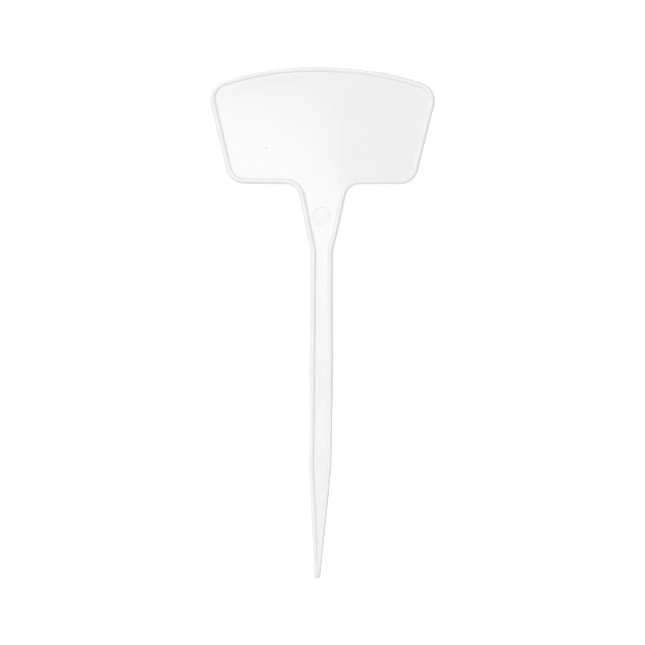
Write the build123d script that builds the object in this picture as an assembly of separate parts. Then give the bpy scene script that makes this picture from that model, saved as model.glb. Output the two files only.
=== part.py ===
from build123d import *

import os
from math import atan2, cos, degrees, radians, sin, sqrt, tan

# Plant label stake, moulded in one piece: a thin web with a round bead along its whole edge.
# Millimetres. +Z runs up the stake from the tip, and the front faces -Y.
# The solids are regions of the one moulding. They meet face to face.

# Overall size
stake_length = 250.0
head_width = 110.0

# Head, by its outer edge
head_height = 57.6
crown_radius = 158.0
top_corner_radius = 9.2
side_lean = 13.5  # degrees from upright, drawing in towards the bottom
bottom_corner_radius = 9.3

# Neck, from the head's lower edge down to the stem
neck_width = 24.9  # where its straight sides would reach the head's lower edge
neck_length = 32.5
shoulder_radius = 7.1
neck_bend_radius = 8.0  # eases the edge from the neck into the stem

# Stem and point
stem_width = 11.4
point_length = 54.5
tip_width = 3.2

# Section of the moulding
web_thickness = 1.2
bead_diameter = 2.75
tip_bead_diameter = 2.4
foot_radius = 0.5  # fillet between a bead and the web

# Round mark of the tool in the neck, sunk into the front
mark_diameter = 9.8
mark_depth = 0.12
mark_drop = 15.9  # from the head's lower edge to the middle of the mark

# Sizes that follow from the ones above
half_web = web_thickness / 2
bead_radius = bead_diameter / 2
tip_radius = tip_bead_diameter / 2
head_base = stake_length - head_height


def foot_reach(radius):
    """Distance from a bead's axis to the line on the web where its foot fillet ends."""
    return sqrt((radius - half_web) * (radius + half_web + 2 * foot_radius))


web_inset = bead_radius + foot_reach(bead_radius)

# Crown and top corner of the head: the corner arc touches the crown from inside
crown_z = stake_length - crown_radius
top_corner_x = head_width / 2 - top_corner_radius
top_corner_z = crown_z + sqrt((crown_radius - top_corner_radius) ** 2 - top_corner_x**2)
crown_angle = degrees(atan2(top_corner_z - crown_z, top_corner_x))

# Side of the head, and the bottom corner that ends it
lean = radians(side_lean)
side_top_x = top_corner_x + top_corner_radius * cos(lean)
side_top_z = top_corner_z - top_corner_radius * sin(lean)
side_foot_x = side_top_x - (side_top_z - head_base) * tan(lean)
bottom_corner_x = side_foot_x - bottom_corner_radius * tan((radians(90) - lean) / 2)
bottom_corner_z = head_base + bottom_corner_radius

# Shoulder fillet, neck side and the bend into the stem
neck_draft = (neck_width - stem_width) / 2
neck_angle = atan2(neck_draft, neck_length)
neck_lean = degrees(neck_angle)
shoulder_x = neck_width / 2 + shoulder_radius * tan((radians(90) - neck_angle) / 2)
shoulder_z = head_base - shoulder_radius
bend_x = stem_width / 2 + neck_bend_radius
bend_z = head_base - neck_length - neck_bend_radius * tan(neck_angle / 2)

# Axis of the right-hand bead at the two ends of the point
point_axis_x = stem_width / 2 - bead_radius
tip_axis_x = tip_width / 2 - tip_radius

front = Plane.XZ


def head_edge(inset):
    """Right half of the head's edge, inset, from the top of the crown round to the shoulder."""
    crown = CenterArc((0, crown_z), crown_radius - inset, 90, crown_angle - 90)
    top_corner = CenterArc(
        (top_corner_x, top_corner_z),
        top_corner_radius - inset,
        crown_angle,
        -crown_angle - side_lean,
    )
    bottom_corner = CenterArc(
        (bottom_corner_x, bottom_corner_z),
        bottom_corner_radius - inset,
        -side_lean,
        side_lean - 90,
    )
    side = Line(top_corner @ 1, bottom_corner @ 0)
    underside = Line(bottom_corner @ 1, (shoulder_x, head_base + inset))
    return [crown, top_corner, side, bottom_corner, underside]


def stem_edge(inset):
    """Right-hand edge below the head, inset, from the shoulder down to where the point begins."""
    shoulder = CenterArc(
        (shoulder_x, shoulder_z), shoulder_radius + inset, 90, 90 - neck_lean
    )
    bend = CenterArc(
        (bend_x, bend_z), neck_bend_radius + inset, 180 - neck_lean, neck_lean
    )
    neck = Line(shoulder @ 1, bend @ 0)
    stem = Line(bend @ 1, (stem_width / 2 - inset, point_length))
    return [shoulder, neck, bend, stem]


def both_halves(right):
    """The right half of a region, joined to its mirror image on the left."""
    return right + mirror(right, about=Plane.YZ)


def bead_section(radius):
    """Round bead with a foot fillet to each face of the web, which lies along +X."""
    reach = foot_reach(radius)
    share = radius / (radius + foot_radius)
    rise = (half_web + foot_radius) * share
    high, low = (reach * share, rise), (reach * share, -rise)
    crest = (-radius, 0)
    return make_face(
        [
            RadiusArc(high, crest, -radius),
            RadiusArc(crest, low, -radius),
            RadiusArc(low, (reach, -half_web), foot_radius),
            Line((reach, -half_web), (reach, half_web)),
            RadiusArc((reach, half_web), high, foot_radius),
        ]
    )


def bead_along(lines):
    """Bead swept along a stretch of the edge that runs clockwise, seen from the front."""
    path = front * Wire(lines)
    along = path % 0
    inward = Vector(0, 1, 0).cross(along)
    start = Plane(origin=path @ 0, x_dir=inward, z_dir=along)
    return sweep(start * bead_section(bead_radius), path=path)


def web_plate():
    """The whole thin web above the point, inside the feet of the beads."""
    edge = head_edge(web_inset) + stem_edge(web_inset)
    middle = Polyline(edge[-1] @ 1, (0, point_length), edge[0] @ 0)
    right = extrude(front * make_face(edge + [middle]), amount=half_web, both=True)
    return both_halves(right)


def above(solid, height):
    """The part of a solid above a level."""
    return split(solid, bisect_by=Plane.XY.offset(height), keep=Keep.TOP)


def below(solid, height):
    """The part of a solid below a level."""
    return split(solid, bisect_by=Plane.XY.offset(height), keep=Keep.BOTTOM)


def with_tool_mark(web):
    """The neck's web with the shallow round recess in its front face."""
    floor = front.offset(half_web - mark_depth) * Pos(0, head_base - mark_drop)
    return web - extrude(floor * Circle(mark_diameter / 2), amount=web_thickness)


def tapered_bead():
    """Right-hand bead of the point, thinner and closer to the middle at the tip."""
    top = Plane(origin=(point_axis_x, 0, point_length), x_dir=(-1, 0, 0), z_dir=(0, 0, -1))
    tip = Plane(origin=(tip_axis_x, 0, tip_radius), x_dir=(-1, 0, 0), z_dir=(0, 0, -1))
    taper = loft([top * bead_section(bead_radius), tip * bead_section(tip_radius)], ruled=True)
    half_ball = Sphere(tip_radius, arc_size2=0, align=(Align.CENTER, Align.CENTER, Align.MIN))
    return taper + Pos(tip_axis_x, 0, 0) * half_ball


def point_web():
    """Right half of the narrow web between the beads, down to where their feet meet."""
    top_x = stem_width / 2 - web_inset
    tip_x = tip_axis_x - foot_reach(tip_radius)
    meeting_z = point_length - (point_length - tip_radius) * top_x / (top_x - tip_x)
    wedge = make_face(Polyline((0, point_length), (top_x, point_length), (0, meeting_z), close=True))
    return extrude(front * wedge, amount=half_web, both=True)


def pointed_end():
    """Both beads and the web between them, one solid down to the blunt tip."""
    right = tapered_bead() + point_web()
    return both_halves(split(right, bisect_by=Plane.YZ, keep=Keep.TOP))


web = web_plate()
right_rib = bead_along(stem_edge(bead_radius))

regions = {
    "writing_panel": above(web, head_base),
    "panel_rim": both_halves(bead_along(head_edge(bead_radius))),
    "neck_web": with_tool_mark(below(above(web, bend_z), head_base)),
    "stem_web": below(web, bend_z),
    "right_edge_rib": right_rib,
    "left_edge_rib": mirror(right_rib, about=Plane.YZ),
    "point": pointed_end(),
}

os.makedirs("parts", exist_ok=True)
for node, region in regions.items():
    export_step(region, f"parts/{node}.step")
    print(node, round(region.volume, 1), "mm3")
print("moulding", round(sum(region.volume for region in regions.values()), 1), "mm3")
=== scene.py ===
from math import asin, atan2, ceil, cos, pi, radians, sin, sqrt, tan

import bpy
import numpy as np
from mathutils import Euler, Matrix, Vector
from mathutils.geometry import delaunay_2d_cdt


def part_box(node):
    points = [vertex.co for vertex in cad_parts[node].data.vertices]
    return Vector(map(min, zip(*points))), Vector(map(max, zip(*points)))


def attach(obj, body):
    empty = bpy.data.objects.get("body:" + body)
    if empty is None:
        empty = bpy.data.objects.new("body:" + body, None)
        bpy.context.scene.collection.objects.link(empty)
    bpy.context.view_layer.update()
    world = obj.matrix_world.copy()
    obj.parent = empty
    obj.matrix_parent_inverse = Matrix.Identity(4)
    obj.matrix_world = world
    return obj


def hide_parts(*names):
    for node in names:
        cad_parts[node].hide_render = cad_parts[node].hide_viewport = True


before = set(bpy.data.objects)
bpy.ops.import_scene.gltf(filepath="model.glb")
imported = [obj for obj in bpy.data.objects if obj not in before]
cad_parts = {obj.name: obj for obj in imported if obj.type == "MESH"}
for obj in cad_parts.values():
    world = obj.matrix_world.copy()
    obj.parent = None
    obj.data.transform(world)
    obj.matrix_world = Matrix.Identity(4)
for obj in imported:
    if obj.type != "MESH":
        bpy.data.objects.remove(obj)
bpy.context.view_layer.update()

# Plant label stake, one white moulding: a thin web with a round bead along its whole edge.
# Metres. +Z runs up the stake from the tip, and the front faces -Y.
# One skin is made over the whole moulding and then cut at the borders of its regions,
# so that shape and shading run on from piece to piece.

MM = 0.001

# Sizes that the frame gives
half_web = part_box("stem_web")[1].y
stem_half_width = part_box("point")[1].x
head_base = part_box("writing_panel")[0].z
bend_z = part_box("stem_web")[1].z
point_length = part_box("point")[1].z

# Outer edge of the head
stake_length = 250.0 * MM
head_half_width = 55.0 * MM
crown_radius = 158.0 * MM
top_corner_radius = 9.2 * MM
side_lean = radians(13.5)
bottom_corner_radius = 9.3 * MM

# Neck, bend and point
neck_half_width = 12.45 * MM  # where its straight sides would reach the head's lower edge
neck_length = 32.5 * MM
shoulder_radius = 7.1 * MM
neck_bend_radius = 8.0 * MM
tip_half_width = 1.6 * MM

# Section
bead_radius = 1.375 * MM
tip_radius = 1.2 * MM
foot_radius = 0.5 * MM  # fillet between a bead and the web
parting_height = 0.04 * MM  # of the fine line on the outer edge, where the tool's halves met
parting_width = 0.2 * MM

# Round mark of the tool in the neck
mark_radius = 4.9 * MM
mark_depth = 0.12 * MM
mark_drop = 15.9 * MM  # from the head's lower edge to the middle of the mark
mark_height = head_base - mark_drop
mark_edge = 0.42 * MM  # width of the rounded step round it
mark_tilt_share = 0.45  # of its depth that it loses from the middle to its shallow edge
mark_tilt_way = (0.45, 0.9)  # towards its deep edge, up and a little to the right
mark_wave_share = 0.17  # of its depth, as height of the broad wave in its floor
mark_wave_length = 8.0 * MM
mark_wave_way = (-0.51, 0.86)  # across the wave
mark_wave_start = -1.6 * MM
mark_grain_share = 0.05  # of its depth, as height of small unevenness
mark_grain_across = 0.7 * MM  # length of one radian of that
mark_grain_up = 0.8 * MM
mark_ring_shares = (0, 0.33, 0.67, 1)  # of the rounded step's width, where rings of points lie on it

# Grey speck in the panel
speck_place = (-27.49 * MM, -half_web, 209.9 * MM)
speck_radius = 0.55 * MM

# Short ripple across the stem
ripple_height = 61.9 * MM
ripple_rise = 0.12 * MM
ripple_width = 0.5 * MM
ripple_reach = 1.7 * MM  # to each side, up to where it has lost half its height
ripple_even_share = 0.5  # of its reach, over which it keeps its height
ripple_sway = 0.25 * MM  # of its line, up and down
ripple_sway_length = 0.6 * MM  # length of one radian of that
ripple_zone = 3 * ripple_width  # above and below it, with a finer skin

# How the moulding has settled since it left the tool
bow_heights = np.array([0, 50, 105, 150, 190, 215, 250]) * MM
bow_offsets = np.array([-0.74, 0.16, 0.46, 0.24, 0.29, 0.04, 0.0]) * MM  # sideways at those heights
pinch_share = 0.05  # how much narrower the stem is in its upper part
pinch_low = 100.0 * MM
pinch_high = 172.0 * MM
pinch_rise = 30.0 * MM  # height over which the pinch sets in, from below
pinch_fall = 16.0 * MM  # height over which it ends again
right_draw = 0.4 * MM  # of the head's lower right corner, inward
right_lift = 0.42 * MM
right_lift_share = 0.6  # of the head's half width, where that lift is full
left_lift = 0.36 * MM  # of the crown's left part
left_lift_share = 0.5  # of the head's half width, where that lift is full
warp_rise = 0.2 * MM  # twist of the panel, at its upper corners
warp_onset_share = 1 / 3  # of the head's height, over which the warp sets in, from below
warp_wave = 0.03 * MM  # slight wave in the panel
wave_across = 7 * MM  # lengths of one radian of the wave: sideways, by its slant, and upward
wave_slant = 19 * MM
wave_up = 11 * MM
crown_dish = 0.04 * MM  # how far the head falls back towards the crown
crown_dish_reach = 6.0 * MM  # below the foot of the crown's bead, where that begins

# Fineness of the skin
run_step = 1.0 * MM
turn_step = radians(5)
web_step = 1.3 * MM
web_gap_share = 0.6  # of that step, which loose points keep from fixed ones
fine_step = 0.5 * MM
finest_step = fine_step / 2
outer_steps = 8
inner_steps = 6
foot_steps = 4
tip_steps = 9
tiny = 1e-9  # far below any size here
same_place = 1e-8  # points that round to the same multiples of this are one
mesh_tolerance = 1e-5  # millimetres, which the mesher is given
keep_inside = 1  # asks the mesher for the triangles inside the outline only


def foot_reach(radius):
    """Distance from a bead's axis to the line on the web where its foot fillet ends."""
    return sqrt((radius - half_web) * (radius + half_web + 2 * foot_radius))


web_inset = bead_radius + foot_reach(bead_radius)
head_height = stake_length - head_base
neck_lean = atan2(neck_half_width - stem_half_width, neck_length)


# The edge of the right half, as stations: point on the bead's axis, way into the moulding, radius

def spread(start, end, step):
    """Directions from one angle to another, no further apart than a step."""
    angles = np.linspace(start, end, ceil(abs(end - start) / step) + 1)
    return np.stack([np.cos(angles), np.sin(angles)], axis=1)


def corner(centre, radius, start, end, step=turn_step):
    """Stations round a corner whose centre lies on the moulding's side."""
    axis_radius = radius - bead_radius
    ways = spread(start, end, step)
    return [(np.array(centre) + axis_radius * out, -out, bead_radius) for out in ways]


def hollow(centre, radius, start, end):
    """Stations round a hollow corner, whose centre lies outside the moulding."""
    axis_radius = radius + bead_radius
    ways = spread(start, end, turn_step)
    return [(np.array(centre) + axis_radius * way, way, bead_radius) for way in ways]


def joined(*stretches):
    """Stretches of stations, with straight runs of stations between them."""
    stations = list(stretches[0])
    for stretch in stretches[1:]:
        (a, way, radius_a), (b, _, radius_b) = stations[-1], stretch[0]
        count = ceil(np.linalg.norm(b - a) / run_step - tiny)
        for share in np.arange(1, count) / max(count, 1):
            stations.append((a + (b - a) * share, way, radius_a + (radius_b - radius_a) * share))
        stations += stretch if count else stretch[1:]
    return stations


def shoulder():
    """Hollow corner below the head; one foot point lies level with the head's lower edge."""
    centre_x = neck_half_width + shoulder_radius * tan((pi / 2 - neck_lean) / 2)
    centre = (centre_x, head_base - shoulder_radius)
    throat = pi - asin(shoulder_radius / (shoulder_radius + web_inset))
    upper = hollow(centre, shoulder_radius, pi / 2, throat)
    return joined(upper, hollow(centre, shoulder_radius, throat, pi - neck_lean))


def head_edge():
    """From the top of the crown clockwise to where the shoulder starts."""
    crown_z = stake_length - crown_radius
    top_x = head_half_width - top_corner_radius
    top_z = crown_z + sqrt((crown_radius - top_corner_radius) ** 2 - top_x**2)
    crown_end = atan2(top_z - crown_z, top_x)
    side_x = top_x + top_corner_radius * cos(side_lean)
    side_z = top_z - top_corner_radius * sin(side_lean)
    side_foot_x = side_x - (side_z - head_base) * tan(side_lean)
    bottom_x = side_foot_x - bottom_corner_radius * tan((pi / 2 - side_lean) / 2)
    return joined(
        corner((0, crown_z), crown_radius, pi / 2, crown_end, run_step / crown_radius),
        corner((top_x, top_z), top_corner_radius, crown_end, -side_lean),
        corner((bottom_x, head_base + bottom_corner_radius), bottom_corner_radius, -side_lean, -pi / 2),
        shoulder()[:1],
    )


def point_edge():
    """Down the tapering point to the middle of the ball at the tip."""
    inward = np.array([-1.0, 0.0])
    top = (np.array([stem_half_width - bead_radius, point_length]), inward, bead_radius)
    tip = (np.array([tip_half_width - tip_radius, tip_radius]), inward, tip_radius)
    return joined([top], [tip])


def stem_edge():
    """From the shoulder down the neck and the stem to where the point begins."""
    bend_centre = (stem_half_width + neck_bend_radius, bend_z)
    bend = hollow(bend_centre, neck_bend_radius, pi - neck_lean, pi)
    return joined(shoulder(), bend, point_edge()[:1])


# Section of the bead, as rows of points: x, z, half thickness

def bead_height(offsets, radius):
    """Half thickness at offsets inward from a bead's axis: round bead, foot fillet, flat web."""
    reach = foot_reach(radius)
    bead_end = reach * radius / (radius + foot_radius)
    bead = np.sqrt(np.maximum(radius**2 - offsets**2, 0))
    foot = half_web + foot_radius - np.sqrt(np.maximum(foot_radius**2 - (reach - offsets) ** 2, 0))
    return np.where(offsets < bead_end, bead, np.where(offsets < reach, foot, half_web))


def section_row(station):
    """Row across one bead, from the outer edge to its foot, or to the centreline if that comes first."""
    axis, inward, radius = station
    reach = foot_reach(radius)
    slope = asin(reach / (radius + foot_radius))
    outer = -radius * np.cos(np.linspace(asin(parting_width / radius), pi / 2, outer_steps))
    inner = radius * np.sin(np.linspace(0, slope, inner_steps + 1))[1:]
    foot = reach - foot_radius * np.sin(np.linspace(slope, 0, foot_steps + 1))[1:]
    offsets = np.concatenate([outer, inner, foot])
    if axis[0] < reach and inward[1] == 0:
        offsets = np.where(offsets > 0, offsets * axis[0] / reach, offsets)
    heights = np.concatenate([[0, parting_width / 2], bead_height(offsets, radius)])
    offsets = np.concatenate([[-radius, parting_height - radius], offsets])
    return np.column_stack([axis + offsets[:, None] * inward, heights])


def tip_rows(row):
    """Rows round the end of the tip, each a smaller copy of the last row of the point."""
    axis_x = tip_half_width - tip_radius
    beyond = np.maximum(row[:, 0] - axis_x, 0)
    rows = []
    for angle in np.linspace(0, pi / 2, tip_steps + 1)[1:]:
        shrink = max(cos(angle), 0) if angle < pi / 2 else 0
        height = np.full(len(row), tip_radius * (1 - sin(angle)))
        rows.append(np.column_stack([row[:, 0] - beyond * (1 - shrink), height, row[:, 2] * shrink]))
    return rows


# Plan of the skin: faces of four such points, facing the front; a triangle repeats its last one

def mirrored(faces):
    """The same faces on the left half."""
    return faces[:, ::-1] * np.array([-1.0, 1.0, 1.0])


def strip(rows):
    """Faces between neighbouring rows of the right half."""
    rows = np.array(rows)
    corners = [rows[:-1, 1:], rows[1:, 1:], rows[1:, :-1], rows[:-1, :-1]]
    return np.stack(corners, axis=2).reshape(-1, 4, 3)


def lattice(low, high, step):
    """Points of a triangular grid over a rectangle."""
    heights = np.arange(low[1], high[1], step * sqrt(3) / 2)
    across = np.arange(low[0], high[0], step)
    shifts = step / 2 * (np.arange(len(heights)) % 2)
    x = across[None, :] + shifts[:, None]
    z = np.broadcast_to(heights[:, None], x.shape)
    return np.stack([x.ravel(), z.ravel()], axis=1)


def clear_of(points, others, distance):
    """The points that keep a distance from all the others."""
    gaps = np.array([np.min(np.sum((others - point) ** 2, axis=1)) for point in points])
    return points[gaps > distance**2]


def border_line(foot_line, height):
    """Points on a level line across the web, from a foot point to its mirror image."""
    x, z = foot_line[np.argmin(np.abs(foot_line[:, 1] - height))]
    across = np.linspace(x, -x, ceil(2 * x / web_step) + 1)
    return np.column_stack([across, np.full(len(across), z)])


def mark_ring(radius):
    """Points on a circle in the round mark, the first one again at the end."""
    angles = np.linspace(0, 2 * pi, ceil(2 * pi * radius / fine_step) + 1)
    return np.column_stack([radius * np.cos(angles), mark_height + radius * np.sin(angles)])


def box_round(centre, half_width, half_height, step):
    """Grid points over a rectangle round a centre."""
    reach = np.array([half_width, half_height])
    return lattice(np.array(centre) - reach, np.array(centre) + reach, step)


def web_points(foot_line):
    """Outline of the web, guide lines on it, and loose points that fill it."""
    left = foot_line[foot_line[:, 0] > tiny][::-1] * [-1, 1]
    outline = np.concatenate([foot_line, left])
    guides = [border_line(foot_line, z) for z in (head_base, bend_z, point_length)]
    guides += [mark_ring(mark_radius - mark_edge * share) for share in mark_ring_shares]
    fixed = np.concatenate([outline, *guides])
    mark_floor = box_round((0, mark_height), mark_radius, mark_radius, fine_step)
    ripple = box_round((0, ripple_height), stem_half_width, ripple_zone, finest_step)
    rest = lattice(outline.min(axis=0), outline.max(axis=0), web_step)
    in_mark = np.linalg.norm(mark_floor - [0, mark_height], axis=1) < mark_radius - mark_edge
    fine = clear_of(np.concatenate([mark_floor[in_mark], ripple]), fixed, finest_step)
    rest = clear_of(rest, np.concatenate([fixed, fine]), web_step * web_gap_share)
    return outline, guides, np.concatenate([fine, rest])


def web_faces(foot_line):
    """Triangles over the web, inside the feet of the beads."""
    outline, guides, loose = web_points(foot_line)
    points = np.concatenate([outline, *guides, loose])
    edges = []
    start = len(outline)
    for guide in guides:
        edges += [(i, i + 1) for i in range(start, start + len(guide) - 1)]
        start += len(guide)
    flat = [Vector(point / MM) for point in points]
    inside = [list(range(len(outline)))]
    made = delaunay_2d_cdt(flat, edges, inside, keep_inside, mesh_tolerance)
    first_of = [min(origins) for origins in made[3]]
    corners = points[np.array([[first_of[i] for i in face] for face in made[2]])]
    one, two = corners[:, 1] - corners[:, 0], corners[:, 2] - corners[:, 0]
    turned = one[:, 0] * two[:, 1] < one[:, 1] * two[:, 0]
    corners[turned] = corners[turned][:, ::-1]
    heights = np.full((len(corners), 3, 1), half_web)
    triangles = np.concatenate([corners, heights], axis=2)
    return np.concatenate([triangles, triangles[:, 2:]], axis=1)


def plan():
    """Faces of the whole skin by region, named as the nodes of the frame."""
    head = [section_row(station) for station in head_edge()]
    stem = [section_row(station) for station in stem_edge()]
    point = [section_row(station) for station in point_edge()]
    edge = head + stem[1:] + point[1:]
    open_web = sum(row[-1, 0] > tiny for row in edge)
    foot_line = np.array([row[-1, :2] for row in edge[:open_web + 1]])
    foot_line[-1, 0] = 0
    web = web_faces(foot_line)
    middle = web[:, :3, 1].mean(axis=1)
    rim = strip(head)
    rib = strip(stem)
    end = strip(point + tip_rows(point[-1]))
    return {
        "panel_rim": np.concatenate([rim, mirrored(rim)]),
        "right_edge_rib": rib,
        "left_edge_rib": mirrored(rib),
        "writing_panel": web[middle > head_base],
        "neck_web": web[(middle > bend_z) & (middle < head_base)],
        "stem_web": web[(middle > point_length) & (middle < bend_z)],
        "point": np.concatenate([end, mirrored(end), web[middle < point_length]]),
    }


# From the plan to the skin

def indexed(regions):
    """Points of the plan, each once, and every region's faces by their numbers."""
    every = np.concatenate(list(regions.values())).reshape(-1, 3)
    keys = np.round(every / same_place) + 0.0  # the sum turns -0 into 0
    _, first, numbers = np.unique(keys, axis=0, return_index=True, return_inverse=True)
    ends = np.cumsum([len(faces) * 4 for faces in regions.values()])
    parts = np.split(numbers.ravel(), ends[:-1])
    faces = {}
    for name, part in zip(regions, parts):
        quads = part.reshape(-1, 4)
        faces[name] = [tuple(dict.fromkeys(quad)) for quad in quads.tolist()]
        faces[name] = [face for face in faces[name] if len(face) > 2]
    return every[first], faces


def ease(share):
    """Smooth step from 0 to 1."""
    share = np.clip(share, 0, 1)
    return share * share * (3 - 2 * share)


def front_relief(x, z):
    """How far the front lies behind the web's flat: the round mark, less the ripple on the stem."""
    up = z - mark_height
    sunk = ease((mark_radius - np.hypot(x, up)) / mark_edge)
    deep_way = (x * mark_tilt_way[0] + up * mark_tilt_way[1]) / mark_radius
    tilt = 1 - mark_tilt_share * (1 - deep_way)
    way = x * mark_wave_way[0] + up * mark_wave_way[1] - mark_wave_start
    wave = mark_wave_share * np.sin(2 * pi * way / mark_wave_length)
    grain = mark_grain_share * np.sin(x / mark_grain_across) * np.cos(up / mark_grain_up)
    depth = mark_depth * sunk * (tilt - wave + grain)
    across = ease(1 + ripple_even_share - np.abs(x) / ripple_reach)
    line = ripple_height + ripple_sway * np.sin(x / ripple_sway_length)
    ripple = ripple_rise * across * np.exp(-(((z - line) / (ripple_width / 2)) ** 2))
    return depth - ripple


def smooth_line(z, heights, values):
    """Smooth curve through a few values, with the slope of each one's neighbours."""
    slopes = np.gradient(values, heights)
    i = np.clip(np.searchsorted(heights, z) - 1, 0, len(heights) - 2)
    span = heights[i + 1] - heights[i]
    share = (z - heights[i]) / span
    rest = 1 - share
    ends = values[i] * rest**2 * (1 + 2 * share) + values[i + 1] * share**2 * (1 + 2 * rest)
    return ends + span * share * rest * (slopes[i] * rest - slopes[i + 1] * share)


def settled(points):
    """The moulding as it has settled: a slight bow and pinch in the stem, a slightly warped head."""
    x, y, z = points.T
    to_right = x / head_half_width
    up_head = (z - head_base) / head_height
    low = np.clip((stake_length - z) / head_height, 0, 1)
    pinch = pinch_share * ease((z - pinch_low) / pinch_rise) * ease((pinch_high - z) / pinch_fall)
    moved_x = x * (1 - pinch) + smooth_line(z, bow_heights, bow_offsets)
    moved_x -= right_draw * low * ease(to_right)
    moved_z = z + right_lift * low * ease(to_right / right_lift_share)
    moved_z += left_lift * ease(up_head) * ease(-to_right / left_lift_share)
    from_corner = to_right * (1 - 2 * up_head)
    panel = ease(up_head / warp_onset_share)
    wave = np.sin(x / wave_across + z / wave_slant) * np.sin(z / wave_up)
    from_crown = crown_radius - web_inset - np.hypot(x, z - stake_length + crown_radius)
    dish = crown_dish * ease(1 - from_crown / crown_dish_reach)
    moved_y = y - panel * (warp_rise * from_corner + warp_wave * wave - dish)
    return np.column_stack([moved_x, moved_y, moved_z])


def skin(plan_points):
    """Front and back points of the skin; the outer edge, where the thickness is nil, is shared."""
    x, z, half = plan_points.T
    on_edge = half < tiny
    depth = np.where(half <= half_web + tiny, front_relief(x, z), 0)
    depth[on_edge] = 0
    front = np.column_stack([x, depth - half, z])
    back = np.column_stack([x, half, z])
    twin = np.where(on_edge, np.arange(len(x)), np.arange(len(x)) + len(x))
    return settled(np.concatenate([front, back])), twin


def closed_faces(faces, twin):
    """A region's front and back, and the walls between them where it borders on its neighbours."""
    sides = [(face[i - 1], face[i]) for face in faces for i in range(len(face))]
    paired = set(sides)
    border = [(a, b) for a, b in sides if (b, a) not in paired]
    walls = [tuple(dict.fromkeys((b, a, int(twin[a]), int(twin[b])))) for a, b in border]
    walls = [wall for wall in walls if len(wall) > 2]
    back = [tuple(int(twin[i]) for i in reversed(face)) for face in faces]
    return faces + back, walls


def face_normals(points, faces):
    """Each face's normal, as long as twice its area."""
    quads = np.array([face if len(face) == 4 else face + face[-1:] for face in faces])
    corners = points[quads]
    return quads, np.cross(corners[:, 2] - corners[:, 0], corners[:, 3] - corners[:, 1])


def skin_normals(points, faces, twin):
    """Normals of the whole skin, at its points."""
    whole = [face for part in faces.values() for face in closed_faces(part, twin)[0]]
    quads, normals = face_normals(points, whole)
    total = np.zeros_like(points)
    for i in range(3):
        np.add.at(total, quads[:, i], normals)
    four = quads[:, 3] != quads[:, 2]
    np.add.at(total, quads[four, 3], normals[four])
    lengths = np.linalg.norm(total, axis=1)
    return total / np.maximum(lengths, tiny * tiny)[:, None]


def region_piece(name, node, faces, points, twin, normals, material):
    """One region as a closed mesh that stands for its CAD node."""
    shown, walls = closed_faces(faces, twin)
    used = sorted({i for face in shown for i in face})
    number = {old: new for new, old in enumerate(used)}
    mesh = bpy.data.meshes.new(name)
    mesh.from_pydata(points[used].tolist(), [], [[number[i] for i in face] for face in shown + walls])
    _, wall_normals = face_normals(points, walls)
    corner_normals = [normals[i] for face in shown for i in face]
    for wall, normal in zip(walls, wall_normals):
        corner_normals += [normal / np.linalg.norm(normal)] * len(wall)
    smooth = [True] * len(shown) + [False] * len(walls)
    mesh.polygons.foreach_set("use_smooth", smooth)
    mesh.normals_split_custom_set(corner_normals)
    mesh.materials.append(material)
    piece = bpy.data.objects.new(name, mesh)
    bpy.context.scene.collection.objects.link(piece)
    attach(piece, "root")
    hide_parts(node)


# White plastic: colours, and sizes of its patches, flow lines, scratches and relief
refraction = 1.49
dim_white = (0.853, 0.854, 0.853)
clear_white = (0.867, 0.867, 0.866)
speck_colour = (0.62, 0.6, 0.58)
cloud_size = 14 * MM
flow_size = 0.9 * MM
flow_stretch = 40
flow_depth = 0.003 * MM
shade_range = (0.75, 1.25)  # of cloud and flow together, from one white to the other
cloud_range = (0.3, 0.7)  # of cloud, over which the gloss changes
gloss_range = (0.07, 0.095)  # roughness at the two ends of that
scratch_size = 0.22 * MM
scratch_stretch = 60
scratch_turn = radians(28)
scratch_range = (0.74, 0.8)  # of its noise, from plain surface to scratch
scratch_roughness = 0.12  # added in a scratch
scratch_depth = 0.001 * MM
peel_size = 1.6 * MM
peel_depth = 0.004 * MM
streak_size = 3.6 * MM
streak_stretch = 8
streak_depth = 0.026 * MM


def added(tree, kind, **inputs):
    """New shader node with constants on its inputs."""
    node = tree.nodes.new(kind)
    for name, value in inputs.items():
        node.inputs[name.replace("_", " ")].default_value = value
    return node


def linked(tree, kind, sources, **inputs):
    """New shader node fed by other nodes' outputs, and its first output."""
    node = added(tree, kind, **inputs)
    for name, source in sources.items():
        tree.links.new(source, node.inputs[name])
    return node.outputs[0]


def mapped(tree, value, given, wanted=(0, 1)):
    """A value moved from one range to another, smoothly and within its ends."""
    ends = {"From_Min": given[0], "From_Max": given[1], "To_Min": wanted[0], "To_Max": wanted[1]}
    node = added(tree, "ShaderNodeMapRange", **ends)
    node.interpolation_type = "SMOOTHSTEP"
    tree.links.new(value, node.inputs["Value"])
    return node.outputs["Result"]


def noise(tree, place, size, stretch=1, turn=0, detail=2):
    """Noise fixed to the object, from 0 to 1: patches of a size, stretched upward, then turned."""
    scale = [1 / size, 1 / size, 1 / (size * stretch)]
    turned = linked(tree, "ShaderNodeMapping", {"Vector": place}, Rotation=(0, turn, 0))
    sized = linked(tree, "ShaderNodeMapping", {"Vector": turned}, Scale=scale)
    return linked(tree, "ShaderNodeTexNoise", {"Vector": sized}, Scale=1.0, Detail=detail)


def blend(tree, share, low, high):
    """Colour between two others."""
    mix = tree.nodes.new("ShaderNodeMix")
    mix.data_type = "RGBA"
    mix.inputs["A"].default_value = (*low, 1)
    mix.inputs["B"].default_value = (*high, 1)
    tree.links.new(share, mix.inputs["Factor"])
    return mix


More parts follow.
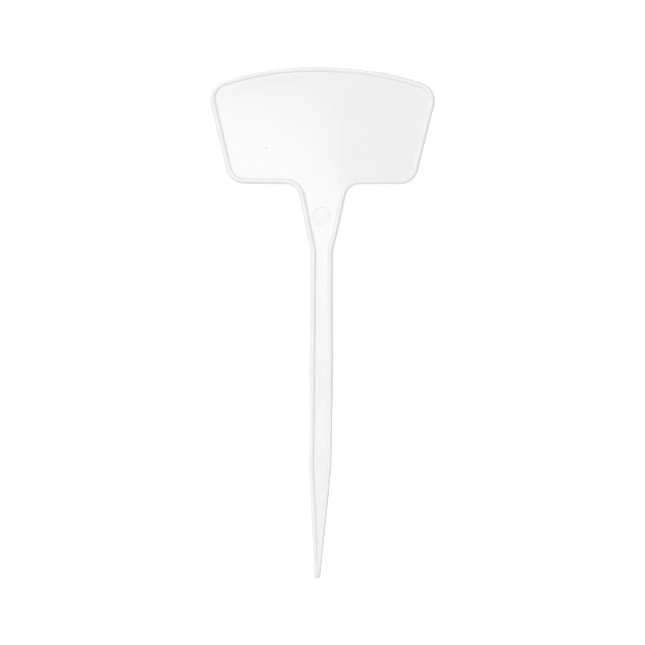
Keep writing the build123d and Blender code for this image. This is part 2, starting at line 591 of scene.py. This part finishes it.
def embossed(tree, height, depth, normal=None):
    """Normal of a relief whose height runs from 0 to 1, laid over another relief if there is one."""
    sources = {"Height": height}
    if normal is not None:
        sources["Normal"] = normal
    return linked(tree, "ShaderNodeBump", sources, Strength=1.0, Distance=depth)


def white_plastic():
    """White polypropylene from a polished tool: cloudy, streaky, with flow lines and hair scratches."""
    material = bpy.data.materials.new("white_polypropylene")
    material.use_nodes = True
    tree = material.node_tree
    shader = tree.nodes["Principled BSDF"]
    shader.inputs["IOR"].default_value = refraction
    place = tree.nodes.new("ShaderNodeTexCoord").outputs["Object"]

    cloud = noise(tree, place, cloud_size, detail=3)
    flow = noise(tree, place, flow_size, flow_stretch)
    both = linked(tree, "ShaderNodeMath", {0: cloud, 1: flow})
    white = blend(tree, mapped(tree, both, shade_range), dim_white, clear_white)
    distance = tree.nodes.new("ShaderNodeVectorMath")
    distance.operation = "DISTANCE"
    distance.inputs[1].default_value = speck_place
    tree.links.new(place, distance.inputs[0])
    clear = mapped(tree, distance.outputs["Value"], (speck_radius / 2, speck_radius))
    coloured = blend(tree, clear, speck_colour, clear_white)
    tree.links.new(white.outputs["Result"], coloured.inputs["B"])
    tree.links.new(coloured.outputs["Result"], shader.inputs["Base Color"])

    scratch = noise(tree, place, scratch_size, scratch_stretch, scratch_turn, detail=0)
    scratched = mapped(tree, scratch, scratch_range)
    dull = mapped(tree, cloud, cloud_range, gloss_range)
    rough = mapped(tree, scratched, (0, 1), (0, scratch_roughness))
    roughness = linked(tree, "ShaderNodeMath", {0: dull, 1: rough})
    tree.links.new(roughness, shader.inputs["Roughness"])

    normal = embossed(tree, noise(tree, place, peel_size), peel_depth)
    normal = embossed(tree, noise(tree, place, streak_size, streak_stretch), streak_depth, normal)
    normal = embossed(tree, flow, flow_depth, normal)
    normal = embossed(tree, scratched, -scratch_depth, normal)
    tree.links.new(normal, shader.inputs["Normal"])
    return material


# The stage

def seen_ray(tree):
    """1 for rays that show the background: camera, glossy and transmission rays."""
    path = tree.nodes.new("ShaderNodeLightPath")
    total = path.outputs["Is Camera Ray"]
    for name in ("Is Glossy Ray", "Is Transmission Ray"):
        most = tree.nodes.new("ShaderNodeMath")
        most.operation = "MAXIMUM"
        tree.links.new(total, most.inputs[0])
        tree.links.new(path.outputs[name], most.inputs[1])
        total = most.outputs[0]
    return total


def make_world():
    """Soft light all round, stronger from the left and the front; white where it is seen."""
    world = bpy.data.worlds.new("studio")
    bpy.context.scene.world = world
    world.use_nodes = True
    tree = world.node_tree
    background = tree.nodes["Background"]
    background.inputs["Color"].default_value = (1, 1, 1, 1)
    toward = tree.nodes.new("ShaderNodeTexCoord").outputs["Generated"]
    slope = tree.nodes.new("ShaderNodeVectorMath")
    slope.operation = "DOT_PRODUCT"
    slope.inputs[1].default_value = dome_lean
    tree.links.new(toward, slope.inputs[0])
    light = linked(tree, "ShaderNodeMath", {0: slope.outputs["Value"]})
    light.node.inputs[1].default_value = dome_strength
    strength = linked(tree, "ShaderNodeMapRange", {"Value": seen_ray(tree), "To Min": light}, To_Max=1.0)
    tree.links.new(strength, background.inputs["Strength"])


def make_floor():
    """Pale floor under the tip. Its own light makes it look white, a little less close to the tip."""
    mesh = bpy.data.meshes.new("floor")
    reach = floor_size / 2
    corners = [(-reach, -reach, 0), (reach, -reach, 0), (reach, reach, 0), (-reach, reach, 0)]
    mesh.from_pydata(corners, [], [(0, 1, 2, 3)])
    floor = bpy.data.objects.new("floor", mesh)
    bpy.context.scene.collection.objects.link(floor)
    material = bpy.data.materials.new("floor")
    material.use_nodes = True
    tree = material.node_tree
    shader = tree.nodes["Principled BSDF"]
    shader.inputs["Base Color"].default_value = (*floor_colour, 1)
    shader.inputs["Roughness"].default_value = floor_roughness
    shader.inputs["Emission Color"].default_value = (1, 1, 1, 1)
    place = tree.nodes.new("ShaderNodeTexCoord").outputs["Object"]
    away = tree.nodes.new("ShaderNodeVectorMath")
    away.operation = "LENGTH"
    tree.links.new(place, away.inputs[0])
    lift = mapped(tree, away.outputs["Value"], (near_distance, far_distance), (near_lift, far_lift))
    seen = tree.nodes.new("ShaderNodeMath")
    seen.operation = "MULTIPLY"
    tree.links.new(lift, seen.inputs[0])
    tree.links.new(seen_ray(tree), seen.inputs[1])
    tree.links.new(seen.outputs[0], shader.inputs["Emission Strength"])
    mesh.materials.append(material)


def softbox(name, place, target, width, height, radiance):
    """Rectangular lamp of an even radiance, turned to a target."""
    light = bpy.data.lights.new(name, "AREA")
    light.shape = "RECTANGLE"
    light.size = width
    light.size_y = height
    light.energy = radiance * pi * width * height
    light.normalize = True
    lamp = bpy.data.objects.new(name, light)
    lamp.location = place
    lamp.rotation_mode = "QUATERNION"
    lamp.rotation_quaternion = (Vector(target) - Vector(place)).to_track_quat("-Z", "Y")
    lamp.visible_camera = False
    bpy.context.scene.collection.objects.link(lamp)


def light_bank():
    """Strip lamps above each other behind the camera, mostly to its left, which the face reflects."""
    for i, (share, right) in enumerate(zip(bank_shares, bank_rights)):
        height = bank_strip * (i + 0.5)
        place = (right - bank_width / 2, -bank_distance, height)
        target = (place[0], 0, height)
        softbox(f"bank_strip_{i + 1}", place, target, bank_width, bank_strip, bank_peak * share)


def make_camera():
    """Level view from the front, as in the photograph, with its slight turn."""
    lens = bpy.data.cameras.new("camera")
    lens.sensor_width = sensor_width
    lens.lens = sensor_width * camera_distance / photo_width
    camera = bpy.data.objects.new("camera", lens)
    camera.location = (photo_centre_x, -camera_distance, photo_centre_z)
    camera.rotation_euler = Euler((pi / 2, 0, 0))
    camera.rotation_euler.rotate_axis("Z", photo_turn)
    bpy.context.scene.collection.objects.link(camera)
    bpy.context.scene.camera = camera


# View of the photograph
sensor_width = 36.0  # millimetres, the unit of Blender's cameras
camera_distance = 900.0 * MM
photo_width = 315.45 * MM  # of what the frame takes in at the object
photo_centre_x = 0.82 * MM
photo_centre_z = 124.88 * MM
photo_turn = radians(0.46)

# Light
dome_strength = 0.578
dome_lean = (-0.3, -0.3, -0.08)  # what that gains towards the positive end of each axis
lamp_target = (0, 0, 0.13)
key_place = (-0.4, -1.85, 1.15)
key_width = 2.4
key_height = 1.2
key_radiance = 1.37
low_place = (-0.02, -0.2, 0.046)  # a small lamp close in front of the point of the stake
low_target = (-0.01, 0, 0.046)
low_width = 0.1
low_height = 0.082
low_radiance = 0.52
back_place = (-0.35, 1.4, 0.85)
back_width = 1.0
back_height = 0.7
back_radiance = 5.0
bank_peak = 2.82  # radiance of the brightest strip lamp
bank_shares = (0.13, 0.52, 0.63, 0.79, 1.0, 0.99, 0.89, 0.6)  # of that, from the lowest up
bank_strip = 51.5 * MM
bank_width = 500.0 * MM
bank_rights = np.array([40, 40, 40, 40, 38, 22, 4, -2]) * MM  # where each ends on the right
bank_distance = 1300.0 * MM
floor_size = 6.0
floor_colour = (0.8, 0.8, 0.8)
floor_roughness = 0.9
near_distance = 0.05  # from the tip, where the floor's own light starts to grow
far_distance = 1.0
near_lift = 0.48  # strength of the floor's own light up to the near distance
far_lift = 0.66  # and from the far one on

points, faces = indexed(plan())
skin_points, twin = skin(points)
normals = skin_normals(skin_points, faces, twin)
plastic = white_plastic()
for node, part in faces.items():
    region_piece("moulded_" + node, node, part, skin_points, twin, normals, plastic)

make_floor()
make_world()
softbox("key_softbox", key_place, lamp_target, key_width, key_height, key_radiance)
softbox("low_softbox", low_place, low_target, low_width, low_height, low_radiance)
light_bank()
softbox("back_softbox", back_place, lamp_target, back_width, back_height, back_radiance)
make_camera()
bpy.context.scene.view_settings.view_transform = "Standard"
